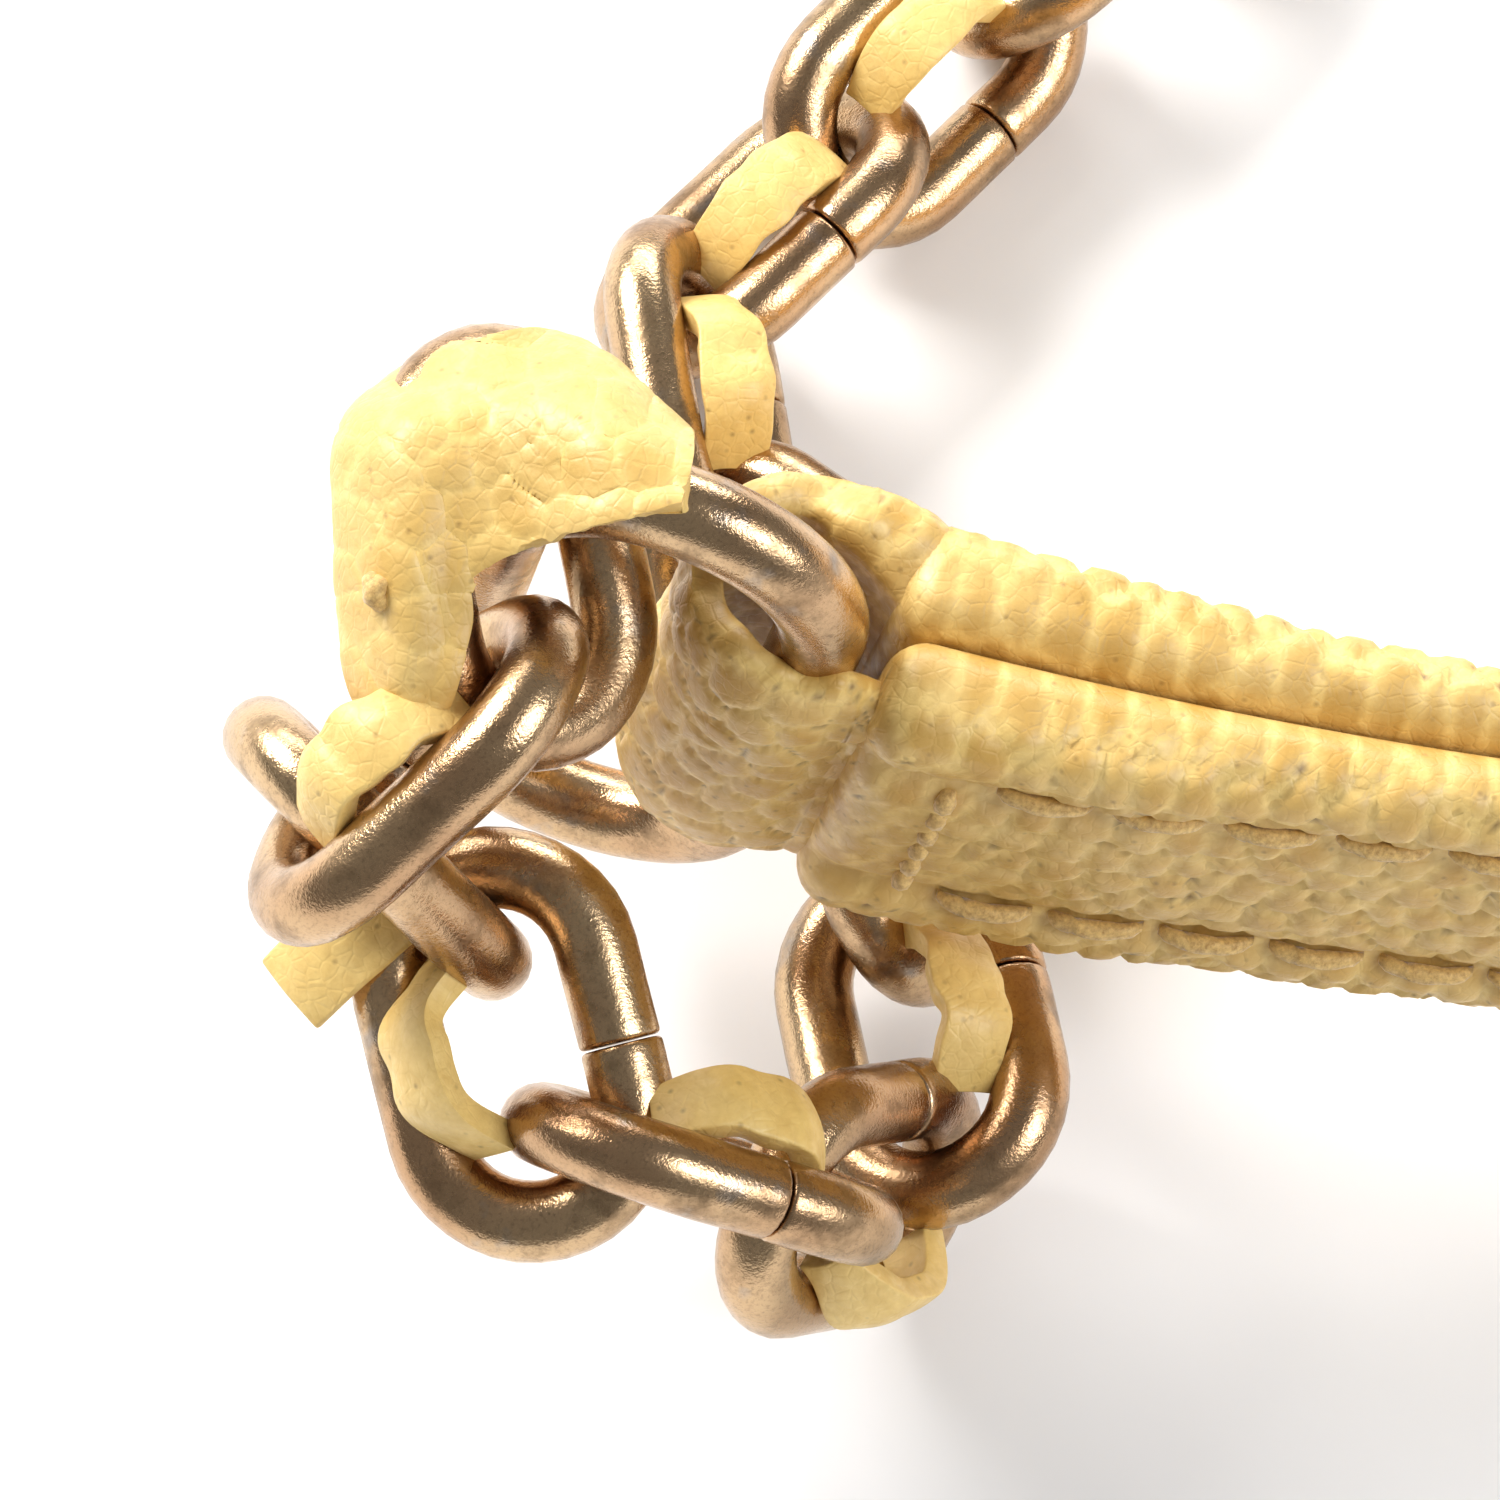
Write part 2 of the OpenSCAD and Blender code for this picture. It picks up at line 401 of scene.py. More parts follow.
@dataclass(frozen=True)
class PebbledLeather:
    """Straw yellow leather: pale grooves, ochre pebbles, glints on the crowns."""

    name: str = "leather"
    groove: tuple[float, float, float] = (0.82, 0.575, 0.19)
    crown: tuple[float, float, float] = (0.56, 0.325, 0.07)
    pale: tuple[float, float, float] = (0.86, 0.65, 0.27)
    pore: tuple[float, float, float] = (0.16, 0.075, 0.018)
    rough: float = 0.46

    def make(self) -> bpy.types.Material:
        """Builds the material."""
        n = Nodes(self.name)
        at = n.place()
        grain = n.add("ShaderNodeVertexColor", layer_name="grain")
        parts = n.add("ShaderNodeSeparateColor")
        n.join(grain.outputs["Color"], parts.inputs[0])
        crown, own, pore = parts.outputs[0], parts.outputs[1], parts.outputs[2]
        cloud = n.noise(at, 420, 4)
        fine = n.noise(at, 2600, 3, 0.6)
        base = n.blend(n.span(crown, 0.55, 1.0, 0, 1), self.groove, self.crown)
        base = n.blend(n.span(cloud, 0.42, 0.72, 0, 0.42), base, self.pale)
        base = n.blend(n.span(own, 0.3, 1.0, 0.0, 0.3), base, self.pale)
        base = n.blend(n.span(fine, 0.3, 0.75, 0.0, 0.4), base, self.crown)
        cells = n.add("ShaderNodeTexVoronoi", Scale=1500.0)
        n.join(at, cells.inputs["Vector"])
        dots = n.span(cells.outputs["Distance"], 0.0, 0.17, 0.55, 0.0)
        base = n.blend(dots, base, self.pore)
        base = n.blend(pore, base, self.pore)
        n.join(base, n.shader.inputs["Base Color"])
        n.join(n.span(fine, 0.3, 0.7, self.rough - 0.06, self.rough + 0.12),
               n.shader.inputs["Roughness"])
        creases = n.add("ShaderNodeTexVoronoi", Scale=2400.0, feature="DISTANCE_TO_EDGE")
        n.join(at, creases.inputs["Vector"])
        normal = n.bump(n.span(creases.outputs[0], 0, 0.12, 0, 1), 0.22, 0.00005)
        normal = n.bump(cells.outputs["Distance"], 0.35, 0.00006, normal)
        normal = n.bump(fine, 0.35, 0.00008, normal)
        n.join(normal, n.shader.inputs["Normal"])
        n.set(Coat_Weight=0.16, Coat_Roughness=0.28, Specular_IOR_Level=0.5)
        return n.material


@dataclass(frozen=True)
class AgedBrass:
    """Rose-gold brass: satin, fine sparkle, painted dark reflections, greyer where it has worn."""

    name: str = "brass"
    warm: tuple[float, float, float] = (0.60, 0.42, 0.24)
    copper: tuple[float, float, float] = (0.47, 0.29, 0.16)
    # Dark brown used for the painted dark reflections and for the fine dark specks.
    dark: tuple[float, float, float] = (0.15, 0.095, 0.05)
    worn: tuple[float, float, float] = (0.34, 0.32, 0.30)

    def make(self) -> bpy.types.Material:
        """Builds the material."""
        n = Nodes(self.name)
        at = n.place()
        broad = n.noise(at, 170, 3)
        blotch = n.noise(at, 650, 5, 0.65)
        grit = n.noise(at, 9000, 2, 0.7)
        base = n.blend(n.span(broad, 0.38, 0.62, 0, 1), self.warm, self.copper)
        # Dark brown blotches: painted reflections of dark surroundings, not wear.
        base = n.blend(n.span(blotch, 0.5, 0.72, 0, 0.75), base, self.dark)
        base = n.blend(n.span(n.noise(at, 480, 4), 0.6, 0.72, 0, 0.7), base, self.worn)
        base = n.blend(n.span(grit, 0.5, 0.75, 0, 0.45), base, self.dark)
        n.join(base, n.shader.inputs["Base Color"])
        n.join(n.span(blotch, 0.3, 0.75, 0.15, 0.36), n.shader.inputs["Roughness"])
        normal = n.bump(grit, 0.5, 0.00003)
        normal = n.bump(blotch, 0.25, 0.00005, normal)
        n.join(normal, n.shader.inputs["Normal"])
        n.set(Metallic=1.0)
        return n.material


@dataclass(frozen=True)
class WaxedThread:
    """Ochre thread of fine fibres."""

    name: str = "thread"
    light: tuple[float, float, float] = (0.74, 0.50, 0.17)
    shade: tuple[float, float, float] = (0.42, 0.24, 0.07)

    def make(self) -> bpy.types.Material:
        """Builds the material."""
        n = Nodes(self.name)
        at = n.place()
        fibre = n.noise(at, 6000, 3, 0.7)
        base = n.blend(n.span(fibre, 0.35, 0.7, 0, 1), self.light, self.shade)
        n.join(base, n.shader.inputs["Base Color"])
        n.join(n.span(fibre, 0.3, 0.7, 0.45, 0.7), n.shader.inputs["Roughness"])
        n.join(n.bump(fibre, 0.5, 0.00005), n.shader.inputs["Normal"])
        n.set(Sheen_Weight=0.3)
        return n.material


@dataclass(frozen=True)
class PaddingFoam:
    """Pale foam with open pores."""

    name: str = "foam"
    pale: tuple[float, float, float] = (0.82, 0.79, 0.70)
    shade: tuple[float, float, float] = (0.60, 0.56, 0.46)

    def make(self) -> bpy.types.Material:
        """Builds the material."""
        n = Nodes(self.name)
        at = n.place()
        cells = n.add("ShaderNodeTexVoronoi", Scale=2500.0)
        n.join(at, cells.inputs["Vector"])
        n.join(n.blend(n.span(cells.outputs["Distance"], 0, 0.5, 0, 1), self.shade, self.pale),
               n.shader.inputs["Base Color"])
        n.join(n.span(n.noise(at, 900), 0.3, 0.7, 0.8, 0.95), n.shader.inputs["Roughness"])
        n.join(n.bump(cells.outputs["Distance"], 0.5, 0.0001), n.shader.inputs["Normal"])
        return n.material


@dataclass
class Finishes:
    """The strap's materials, each built once."""

    leather: bpy.types.Material
    brass: bpy.types.Material
    thread: bpy.types.Material
    foam: bpy.types.Material

    @classmethod
    def build(cls) -> "Finishes":
        """Builds every finish."""
        return cls(PebbledLeather().make(), AgedBrass().make(), WaxedThread().make(),
                   PaddingFoam().make())


def dress(obj: bpy.types.Object, material: bpy.types.Material) -> None:
    """Gives a piece its only material."""
    obj.data.materials.clear()
    obj.data.materials.append(material)


@dataclass
class PadPath:
    """The pad's course: an arc in plan, flat in the middle, with both ends lifted. Sizes in mm."""

    length: float = 199.0
    width: float = 13.5
    radius: float = 150.0
    end_rise: float = 9.2
    end_slope: float = 10.5
    front: float = 2.6
    back: float = 2.5
    swell: float = 0.85
    swell_length: float = 17.0
    seam: float = 0.06
    y_shift: float = 0.0

    @property
    def half(self) -> float:
        """Half of the pad's length."""
        return self.length / 2

    def lifted(self, s: np.ndarray) -> tuple[np.ndarray, np.ndarray]:
        """Returns how the pad lifts towards its ends.

        Args:
            s: Stations along the pad from its middle.

        Returns:
            The rise in mm and the slope in radians at each station.
        """
        span = 2 * self.end_rise / math.tan(math.radians(self.end_slope))
        u = np.maximum(np.abs(s) - (self.half - span), 0)
        return (self.end_rise * u * u / span ** 2,
                np.sign(s) * np.arctan(2 * self.end_rise * u / span ** 2))

    def frames(self, s: np.ndarray) -> tuple[np.ndarray, np.ndarray, np.ndarray, np.ndarray]:
        """Returns the path's frames.

        Args:
            s: Stations along the pad from its middle.

        Returns:
            Points, directions along the pad, inward directions and upward directions.
        """
        head = s / self.radius
        rise, slope = self.lifted(s)
        zero = np.zeros_like(s)
        point = np.stack([self.radius * np.sin(head), -self.radius * np.cos(head) + self.y_shift,
                          self.width / 2 + rise], -1)
        along = np.stack([np.cos(head) * np.cos(slope), np.sin(head) * np.cos(slope),
                          np.sin(slope)], -1)
        inward = np.stack([-np.sin(head), np.cos(head), zero], -1)
        return point, along, inward, np.cross(along, inward)

    def at(self, s: np.ndarray, p: np.ndarray, q: np.ndarray) -> np.ndarray:
        """Returns points by their place on the pad.

        Args:
            s: Stations along the pad from its middle.
            p: Distances towards the curve's inside.
            q: Distances up.

        Returns:
            The points in mm.
        """
        s, p, q = np.broadcast_arrays(s, p, q)
        point, _, inward, upward = self.frames(s)
        return point + p[..., None] * inward + q[..., None] * upward

    def thickness(self, layer: Layer, s: np.ndarray) -> np.ndarray:
        """Returns a layer's thickness, which swells near the pad's ends.

        Args:
            layer: The layer.
            s: Stations along the pad from its middle.

        Returns:
            The thickness in mm at each station.
        """
        u = np.clip((self.half - np.abs(s)) / self.swell_length, 0, 1)
        base = self.front if layer is Layer.FRONT else self.back
        return base + self.swell * (1 + np.cos(math.pi * u)) / 2


@dataclass
class PadLayer:
    """One padded leather layer with rolled edges, a sewn channel and a pebbled grain."""

    path: PadPath
    layer: Layer
    node: str
    roll: float = 1.25
    grain_height: float = 0.38
    channel_depth: float = 0.42
    channel_inset: float = 2.6
    seed: int = 3
    columns: int = 116
    end_round: float = 1.15
    fine_end: float = 36.0
    half_rows: int = 150
    cap_step: float = 0.04
    pebble: float = 1.22
    pebble_over_face: float = 1.5
    pebble_over_roll: float = 3.0
    smooth_end: float = 5.0

    def stations(self) -> tuple[np.ndarray, np.ndarray]:
        """Returns each row's station and how far its section is drawn in."""
        limit = self.path.half
        coarse = limit - self.fine_end
        half = np.concatenate([np.linspace(0, coarse, self.half_rows, endpoint=False),
                               np.linspace(coarse, limit - self.end_round, self.half_rows,
                                           endpoint=False)])
        turn = np.linspace(0, math.pi / 2, 9)
        tip_s = limit - self.end_round + self.end_round * np.sin(turn)
        tip_in = self.end_round * (1 - np.cos(turn))
        cap_s = np.full(4, limit + self.cap_step)
        cap_in = self.end_round + np.array([0.05, 0.1, 0.15, 0.2]) * 0.6
        s = np.concatenate([half, tip_s, cap_s])
        inset = np.concatenate([0 * half, tip_in, cap_in])
        return (np.concatenate([-s[:0:-1], s]), np.concatenate([inset[:0:-1], inset]))

    def outline(self, a: np.ndarray, b: np.ndarray, r: np.ndarray) -> tuple[np.ndarray, ...]:
        """Returns a rounded box section for each row.

        Args:
            a: Half thickness of each row.
            b: Half width of each row.
            r: Edge radius of each row.

        Returns:
            Offsets across, offsets up, normals across, normals up and the length run round the
            section, each of rows by columns.
        """
        t = np.linspace(0, 1, self.columns, endpoint=False)
        a, b, r = a[:, None], b[:, None], r[:, None]
        side, top, arc = 2 * (b - r), 2 * (a - r), math.pi / 2 * r
        lengths = [side, arc, top, arc, side, arc, top, arc]
        total = sum(lengths)
        run = t[None, :] * total
        x, y = np.zeros_like(run), np.zeros_like(run)
        nx, ny = np.zeros_like(run), np.zeros_like(run)
        start = np.zeros_like(total)
        corner = [(1, 1), (-1, 1), (-1, -1), (1, -1)]
        for k in range(4):
            line, bend = lengths[2 * k], lengths[2 * k + 1]
            ang = math.pi / 2 * k
            u = run - start
            on_line = (u >= 0) & (u < line)
            cx, cy = corner[k]
            dx, dy = math.cos(ang), math.sin(ang)
            ex, ey = cx * (a - r), cy * (b - r)
            back = line - u
            px, py = ex + r * dx + back * dy, ey + r * dy - back * dx
            x, y = np.where(on_line, px, x), np.where(on_line, py, y)
            nx, ny = np.where(on_line, dx, nx), np.where(on_line, dy, ny)
            start = start + line
            u = run - start
            on_bend = (u >= 0) & (u < bend)
            phi = ang + np.where(bend > 0, u / np.maximum(bend, 1e-9), 0) * math.pi / 2
            x = np.where(on_bend, ex + r * np.cos(phi), x)
            y = np.where(on_bend, ey + r * np.sin(phi), y)
            nx, ny = np.where(on_bend, np.cos(phi), nx), np.where(on_bend, np.sin(phi), ny)
            start = start + bend
        return x, y, nx, ny, run

    def build(self, finishes: Finishes) -> bpy.types.Object:
        """Builds the layer, with its grain in the mesh.

        Args:
            finishes: The strap's materials.

        Returns:
            The layer.
        """
        path, out = self.path, self.layer.value
        s, inset = self.stations()
        thick = path.thickness(self.layer, s)
        half_t, half_w = thick / 2 - inset, path.width / 2 - inset
        radius = np.minimum(np.maximum(self.roll - inset * 0.6, 0.05), half_t - 0.01)
        x, y, nx, ny, run = self.outline(half_t, half_w, radius)
        s2 = np.repeat(s[:, None], self.columns, 1)
        # Grain cells run long over the rolled edges and short on the faces.
        over = np.clip(np.abs(ny), 0, 1)
        density = np.where(np.abs(nx) > 0.85, 1 / self.pebble_over_face,
                           1 / self.pebble_over_roll)
        v = np.cumsum(density * np.diff(run, axis=1, prepend=0), axis=1)
        crown, own = pebbles(s2 / self.pebble, v, self.seed)
        fine, _ = pebbles(s2 / 0.62, run / 0.7, self.seed + 1)
        flat = np.stack([s2.ravel(), y.ravel(), x.ravel()], -1) * MM
        swellings = wave(flat, 0.006, self.seed + 2).reshape(s2.shape)
        face = np.clip((nx + 0.35) / 0.5, 0, 1)
        smooth = np.clip((path.half - np.abs(s2)) / self.smooth_end, 0.25, 1)
        lift = self.grain_height * (crown - 0.75) * smooth * (0.8 + 0.4 * own)
        lift += 0.05 * (fine - 0.6) + 0.07 * swellings
        edge = path.width / 2 - self.channel_inset
        across = np.abs(np.abs(y) - edge)
        lip = np.where(np.abs(y) > edge, 0.5, 0.9)
        channel = np.exp(-(across / lip) ** 2) * (nx > 0.7)
        lift = lift * (1 - 0.6 * channel) - self.channel_depth * channel
        lift -= 0.12 * (np.abs(y) < edge) * (nx > 0.7)
        lift *= face
        tip = np.clip(inset / self.end_round, 0, 1)[:, None]
        lift = lift * (1 - 0.7 * tip) - 0.04
        x, y = x + nx * lift, y + ny * lift
        mid = out * (path.seam / 2 + thick[:, None] / 2)
        points = path.at(s2, mid + out * x, y)
        obj = shaped_grid(self.node + "_leather", points * MM, True)
        pore = (crown < 0.5) * (own > 0.72) * face * (fine < 0.5)
        paint_grain(obj, crown.ravel(), own.ravel(), pore.ravel() * 0.8)
        dress(obj, finishes.leather)
        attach(obj, "root")
        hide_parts(self.node)
        LOG.info("%s: %d vertices", obj.name, len(obj.data.vertices))
        return obj


@dataclass
class Sleeve:
    """The rolled loop at a pad end, which carries on from the back layer round the ring."""

    path: PadPath
    side: Side
    reach: float = 1.9
    ring_shift: float = -0.9
    shift_out: float = 0.4
    shift_in: float = 1.5
    radius: float = 3.5
    half: float = 6.3
    wall: float = 0.95
    thick_start: float = 1.7
    start_angle: float = 108.0
    end_angle: float = -122.0
    lead_share: float = 0.16
    lead_length: float = 2.6
    tuck_length: float = 1.1
    grain_height: float = 0.2
    rows: int = 130
    columns: int = 132

    def frame(self) -> tuple[np.ndarray, np.ndarray, np.ndarray, np.ndarray]:
        """Returns the ring leg's place and the directions out, in and up, at the left end."""
        s = np.array([-self.path.half])
        _, along, inward, upward = self.path.frames(s)
        foot = self.path.at(s, np.array([self.ring_shift]), np.array([0.0]))[0]
        return foot - self.reach * along[0], -along[0], inward[0], upward[0]

    def course(self, t: np.ndarray) -> tuple[np.ndarray, np.ndarray, np.ndarray]:
        """Returns the sheet's middle line, from the back layer round to the front.

        Args:
            t: Places along the sheet, from 0 to 1.

        Returns:
            Distances out, distances in and the sheet's thickness, in mm.
        """
        wall = self.wall + self.thick_start * np.clip(1 - t / 0.42, 0, 1) ** 1.3
        r = self.radius - wall / 2
        start, end = math.radians(self.start_angle), math.radians(self.end_angle)
        phi = start + (end - start) * np.clip((t - self.lead_share) / 0.76, 0, 1)
        lead = np.clip((self.lead_share - t) / self.lead_share, 0, 1)
        tuck = np.clip((t - 0.9) / 0.1, 0, 1)
        x = self.shift_out + r * np.cos(phi) - lead * self.lead_length - self.tuck_length * tuck
        y = self.shift_in + r * np.sin(phi) - lead * lead * 0.7
        return x, y, wall

    def build(self, finishes: Finishes) -> bpy.types.Object:
        """Builds the folded sheet with its wrinkled rims.

        Args:
            finishes: The strap's materials.

        Returns:
            The loop.
        """
        foot, out, inn, up = self.frame()
        t = np.linspace(0, 1, self.rows)
        x, y, wall = self.course(t)
        tx, ty = np.gradient(x), np.gradient(y)
        run_t = np.concatenate([[0], np.cumsum(np.hypot(np.diff(x), np.diff(y)))])
        size = np.hypot(tx, ty)
        nx, ny = -ty / size, tx / size
        turn = np.sign((nx * (x - self.shift_out) + ny * (y - self.shift_in))[self.rows // 2])
        nx, ny = nx * turn, ny * turn
        half_w = self.half + 0.35 * np.clip(1 - t / 0.4, 0, 1) - 0.45 * np.clip(
            (t - 0.55) / 0.45, 0, 1)
        shape = PadLayer(self.path, Layer.BACK, "", columns=self.columns)
        radius = np.minimum(wall / 2 - 0.03, 1.2)
        a, q, na, nq, run = shape.outline(wall / 2, half_w, radius)
        tt = np.repeat(run_t[:, None], self.columns, 1)
        flat = np.stack([tt.ravel(), q.ravel(), 0.6 * a.ravel()], -1) * MM
        rim = np.clip((np.abs(q) - self.half + 2.0) / 2.0, 0, 1)
        pucker = wave(flat * np.array([1, 0.2, 1]), 0.0021, 21).reshape(tt.shape)
        dent = wave(flat, 0.0065, 22).reshape(tt.shape)
        crown, own = pebbles(tt / 1.35, run / 1.45, 23)
        face = np.clip(0.35 + na, 0, 1)
        lift = self.grain_height * (crown - 0.75) * (1 - 0.6 * rim) * face
        lift += 0.1 * pucker * rim + 0.12 * dent * face
        rise = 0.28 * pucker * np.clip(np.abs(nq), 0, 1) + 0.22 * wave(
            flat * np.array([1, 0, 0]), 0.005, 24).reshape(tt.shape) * rim
        a = a + na * lift - 0.25 * rim
        q = q + np.sign(q) * rise + nq * lift
        points = (foot + (x[:, None] + a * nx[:, None])[..., None] * out
                  + (y[:, None] + a * ny[:, None])[..., None] * inn + q[..., None] * up)
        if self.side is Side.RIGHT:
            points = points * MIRROR
        obj = shaped_grid(self.side.value + "_loop_leather", points * MM, True)
        paint_grain(obj, crown.ravel(), own.ravel(),
                    ((crown < 0.45) * (own > 0.8) * face).ravel() * 0.6)
        dress(obj, finishes.leather)
        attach(obj, "root")
        LOG.info("%s: %d vertices", obj.name, len(obj.data.vertices))
        return obj


@dataclass
class Seams:
    """Rows of twisted thread stitches, partly sunk in the leather. Sizes in mm."""

    path: PadPath
    inset: float = 2.6
    length: float = 2.55
    pitch: float = 3.0
    thick: float = 0.58
    twist: float = 1.1
    crest: float = 0.30
    sunk: float = 0.26
    lift: float = 0.16
    end_count: int = 6

    def stitch(self, start: np.ndarray, end: np.ndarray, normal: np.ndarray,
               seed: int) -> np.ndarray:
        """Returns rows of points for one twisted stitch whose ends dip into the leather.

        Args:
            start: First hole.
            end: Second hole.
            normal: Direction out of the leather.
            seed: Number that turns the twist.

        Returns:
            Rows of section points.
        """
        rows, columns = 13, 8
        t = np.linspace(0, 1, rows)
        along = unit(end - start)
        side = np.cross(along, normal)
        core = start + (end - start) * t[:, None]
        core = core + normal * (self.crest * np.sin(math.pi * t) ** 0.6 - self.sunk)[:, None]
        phi = np.linspace(0, 2 * math.pi, columns, endpoint=False)
        turn = t[:, None] * 2 * math.pi * self.twist + seed * 1.3
        radius = self.thick / 2 * (0.86 + 0.2 * np.abs(np.cos(phi[None, :] - turn)))
        radius = radius * (0.55 + 0.45 * np.sin(math.pi * t) ** 0.4)[:, None]
        return core[:, None, :] + radius[..., None] * (
            np.cos(phi)[None, :, None] * normal + np.sin(phi)[None, :, None] * side)

    def row(self, name: str, holes: list[tuple[np.ndarray, np.ndarray, np.ndarray]],
            material: bpy.types.Material, node: str) -> bpy.types.Object:
        """Builds every stitch of one seam as one piece.

        Args:
            name: The piece's name.
            holes: Start, end and normal of each stitch, in mm.
            material: The thread.
            node: The CAD node that the piece stands for.

        Returns:
            The piece.
        """
        first = None
        made = []
        for k, (start, end, normal) in enumerate(holes):
            points = self.stitch(start, end, normal, k) * MM
            if first is None:
                first = shaped_grid(name, points, True)
                made.append(first)
            else:
                made.append(copy_piece(first, f"{name}_{k}", points.reshape(-1, 3)))
        deselect()
        for obj in made:
            obj.select_set(True)
        bpy.context.view_layer.objects.active = first
        bpy.ops.object.join()
        dress(first, material)
        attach(first, "root")
        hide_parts(node)
        LOG.info("%s: %d stitches", name, len(holes))
        return first

    def surface(self, s: float, q: float) -> tuple[np.ndarray, np.ndarray]:
        """Finds where a stitch lies on the front layer's sunken face.

        Args:
            s: Station along the pad from its middle.
            q: Distance up.

        Returns:
            The point and the direction out of the leather.
        """
        at = np.array([s])
        thick = self.path.thickness(Layer.FRONT, at)
        _, _, inward, _ = self.path.frames(at)
        depth = -(self.path.seam / 2 + thick[0] - self.lift)
        return self.path.at(at, np.array([depth]), np.array([q]))[0], -inward[0]

    def build(self, finishes: Finishes) -> None:
        """Builds the long seams and the short seams at the ends.

        Args:
            finishes: The strap's materials.
        """
        edge = self.path.width / 2 - self.inset
        count = int((self.path.length - 2 * self.inset) / self.pitch)
        holes = []
        for q in (edge, -edge):
            for k in range(count):
                s = (k - (count - 1) / 2) * self.pitch
                start, normal = self.surface(s - self.length / 2, q)
                end, _ = self.surface(s + self.length / 2, q)
                holes.append((start, end, normal))
        self.row("long_seams", holes, finishes.thread, "long_stitching")
        holes = []
        for sign in (-1, 1):
            s = sign * (self.path.half - self.inset)
            step = 2 * edge / (self.end_count + 1)
            for k in range(self.end_count):
                q = -edge + (k + 1) * step
                start, normal = self.surface(s, q - step * 0.42)
                end, _ = self.surface(s, q + step * 0.42)
                holes.append((start, end, normal))
        self.row("end_seams", holes, finishes.thread, "end_stitching")


@dataclass
class WireOval:
    """A round-ended loop of wire with its butt joint in one leg. Sizes in mm."""

    wire: float
    end: float
    half: float
    sides: int = 20
    steps: int = 18
    gap: float = 0.06
    joint_share: float = 0.35
    lip_share: float = 0.06

    def build(self, name: str) -> bpy.types.Object:
        """Builds the loop about its own middle, long axis along X, flat in the X-Y plane.

        Args:
            name: The loop's name.

        Returns:
            The loop.
        """
        deselect()
        joint = self.joint_share * self.half
        bpy.ops.mesh.primitive_circle_add(vertices=self.sides, radius=self.wire / 2 * MM,
                                          fill_type="NOTHING", enter_editmode=False,
                                          rotation=(0, math.pi / 2, 0),
                                          location=((joint + self.gap / 2) * MM,
                                                    self.end * MM, 0))
        obj = bpy.context.object
        obj.name = obj.data.name = name
        bpy.ops.object.transform_apply(location=True, rotation=True, scale=True)
        bpy.ops.object.mode_set(mode="EDIT")
        bpy.ops.mesh.select_all(action="SELECT")
        moves = [(self.half - joint - self.gap / 2, 3), ("turn", 1), (-2 * self.half, 8),
                 ("turn", -1), (self.half + joint - self.gap / 2, 5)]
        for move, count in moves:
            if move == "turn":
                bpy.ops.mesh.spin(steps=self.steps, angle=math.pi,
                                  center=(count * self.half * MM, 0, 0), axis=(0, 0, 1))
            else:
                for _ in range(count):
                    bpy.ops.mesh.extrude_region_move(
                        TRANSFORM_OT_translate={"value": (move / count * MM, 0, 0)})
        bpy.ops.mesh.select_all(action="SELECT")
        bpy.ops.mesh.remove_doubles(threshold=MERGE)
        bpy.ops.mesh.fill_holes(sides=0)
        bpy.ops.mesh.normals_make_consistent(inside=False)
        bpy.ops.object.mode_set(mode="OBJECT")
        make_active(obj)
        mod = obj.modifiers.new("lips", "BEVEL")
        mod.width = self.lip_share * self.wire * MM
        mod.segments = 3
        mod.limit_method = "ANGLE"
        mod.angle_limit = math.radians(60)
        bpy.ops.object.modifier_apply(modifier=mod.name)
        bpy.ops.object.shade_smooth()
        return obj

    def worked(self, local: np.ndarray, seed: int) -> np.ndarray:
        """Gives a loop the slight dents and drawn-out bends of formed wire.

        Args:
            local: The loop's vertices, in metres.
            seed: Number that fixes the dents.

        Returns:
            The moved vertices.
        """
        dent = wave(local + seed * 0.013, 0.004, 31)
        bend = np.clip((np.abs(local[:, 0]) - self.half * MM) / (self.end * MM), 0, 1)
        grow = -0.015 * np.abs(dent) - 0.03 * bend
        core = local.copy()
        lo = np.clip(local[:, 0], -self.half * MM, self.half * MM)
        flat = local[:, :2] - np.stack([lo, 0 * lo], -1)
        core_xy = flat / np.maximum(np.linalg.norm(flat, axis=1), 1e-9)[:, None] * self.end * MM
        core[:, 0], core[:, 1], core[:, 2] = lo + core_xy[:, 0], core_xy[:, 1], 0
        return local + (local - core) * grow[:, None]


@dataclass
class Placed:
    """Where a rigid loop of wire lies: its middle in mm, long direction and side direction."""

    middle: np.ndarray
    along: np.ndarray
    side: np.ndarray

    @property
    def normal(self) -> np.ndarray:
        """Direction square to the loop's plane."""
        return np.cross(self.along, self.side)

    def world(self, local: np.ndarray) -> np.ndarray:
        """Returns local points, in metres, in the strap's frame, in metres."""
        turn = np.stack([self.along, self.side, self.normal])
        return self.middle * MM + local @ turn

    @classmethod
    def of_node(cls, obj: bpy.types.Object, along: np.ndarray, side: np.ndarray) -> "Placed":
        """Finds the place of a CAD loop from its mesh.

        Args:
            obj: The CAD node.
            along: Rough long direction, for its sign.
            side: Rough side direction, for its sign.

        Returns:
            The loop's place.
        """
        pts = coords(obj) / MM
        low, high = pts.min(0), pts.max(0)
        middle = (low + high) / 2
        _, vectors = np.linalg.eigh(np.cov((pts - middle).T))
        long, wide = vectors[:, 2], vectors[:, 1]
        long = long * (1 if long @ along >= 0 else -1)
        wide = wide * (1 if wide @ side >= 0 else -1)
        return cls(middle, long, wide)


